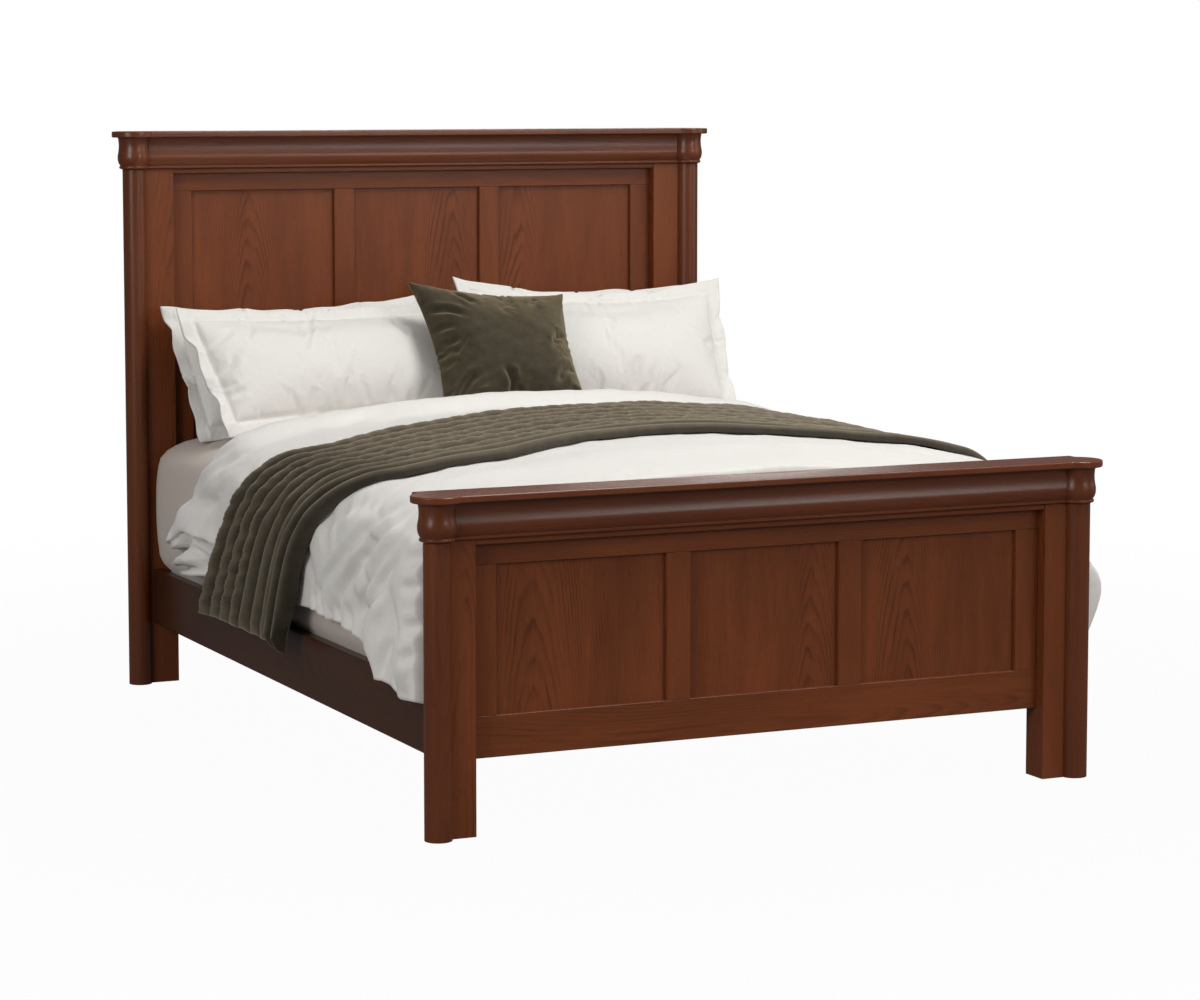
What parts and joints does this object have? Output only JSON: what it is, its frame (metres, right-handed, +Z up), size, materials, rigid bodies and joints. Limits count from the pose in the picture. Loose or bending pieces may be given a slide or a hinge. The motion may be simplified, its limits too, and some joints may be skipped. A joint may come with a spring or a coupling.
{
  "type": "panel bed",
  "caption": "Queen-size wooden panel bed with columned posts, moulded cap boards, slatted deck, mattress, duvet, quilted throw, pillows and cushion.",
  "frame": {"origin": "on the floor, under the middle of the bed's outline", "axes": "+X across the bed to the right seen from the foot, +Y from the foot to the head, +Z up"},
  "size_m": [1.7851, 2.2566, 1.5126],
  "materials": {
    "wood_cherry": "satin lacquer over a red-brown stain, straight grain",
    "panel_wood": "satin lacquer over a red-brown stain, cathedral grain",
    "deck_wood": "planed softwood, unfinished",
    "plated_steel": "zinc plated",
    "glide_felt": "pressed felt",
    "mattress_cover": "stretched cotton sheet, warm light grey",
    "white_linen": "washed linen cotton, matt, off-white",
    "olive_velvet": "short-pile velvet, dark olive"
  },
  "bodies": {
    "bed_frame": {"footboard_post_left": "wood_cherry", "footboard_post_right": "wood_cherry", "footboard_column_left": "wood_cherry", "footboard_column_right": "wood_cherry", "footboard_capitals": "wood_cherry", "footboard_crown_moulding": "wood_cherry", "footboard_crown_returns": "wood_cherry", "footboard_cap": "wood_cherry", "footboard_frieze_rail": "wood_cherry", "footboard_top_rail": "wood_cherry", "footboard_bottom_rail": "wood_cherry", "footboard_stiles": "wood_cherry", "footboard_muntins": "wood_cherry", "footboard_panel_left": "panel_wood", "footboard_panel_centre": "panel_wood", "footboard_panel_right": "panel_wood", "headboard_post_left": "wood_cherry", "headboard_post_right": "wood_cherry", "headboard_column_left": "wood_cherry", "headboard_column_right": "wood_cherry", "headboard_capitals": "wood_cherry", "headboard_crown_moulding": "wood_cherry", "headboard_crown_returns": "wood_cherry", "headboard_cap": "wood_cherry", "headboard_frieze_rail": "wood_cherry", "headboard_top_rail": "wood_cherry", "headboard_bottom_rail": "wood_cherry", "headboard_stiles": "wood_cherry", "headboard_muntins": "wood_cherry", "headboard_panel_left": "panel_wood", "headboard_panel_centre": "panel_wood", "headboard_panel_right": "panel_wood", "side_rail_left": "wood_cherry", "side_rail_right": "wood_cherry", "slat_cleat_left": "deck_wood", "slat_cleat_right": "deck_wood", "slats": "deck_wood", "centre_beam": "deck_wood", "centre_legs": "deck_wood", "rail_hook_plates": "plated_steel", "post_cross_pins": "plated_steel", "centre_beam_brackets": "plated_steel", "post_glides": "glide_felt"},
    "mattress": {"mattress": "mattress_cover"},
    "duvet": {"duvet": "white_linen"},
    "throw": {"throw": "olive_velvet"},
    "pillows": {"pillow_back_left": "white_linen", "pillow_back_right": "white_linen", "pillow_front_left": "white_linen", "pillow_front_right": "white_linen"},
    "accent_cushion": {"accent_cushion": "olive_velvet"},
    "levelling_foot_foot": {"levelling_foot_foot": "plated_steel"},
    "levelling_foot_head": {"levelling_foot_head": "plated_steel"}
  },
  "joints": [
    {"name": "mattress_lift", "type": "slide", "parent": "bed_frame", "child": "mattress", "axis": [0, 0, 1], "range_m": [0, 0.15]},
    {"name": "duvet_lift", "type": "slide", "parent": "mattress", "child": "duvet", "axis": [0, 0, 1], "range_m": [0, 0.15]},
    {"name": "throw_lift", "type": "slide", "parent": "duvet", "child": "throw", "axis": [0, 0, 1], "range_m": [0, 0.15]},
    {"name": "pillows_lift", "type": "slide", "parent": "mattress", "child": "pillows", "axis": [0, 0, 1], "range_m": [0, 0.15]},
    {"name": "cushion_lift", "type": "slide", "parent": "pillows", "child": "accent_cushion", "axis": [0, 0, 1], "range_m": [0, 0.15]},
    {"name": "levelling_foot_screw_foot", "type": "slide", "parent": "bed_frame", "child": "levelling_foot_foot", "axis": [0, 0, 1], "range_m": [-0.012, 0]},
    {"name": "levelling_foot_screw_head", "type": "slide", "parent": "bed_frame", "child": "levelling_foot_head", "axis": [0, 0, 1], "range_m": [-0.012, 0]}
  ]
}
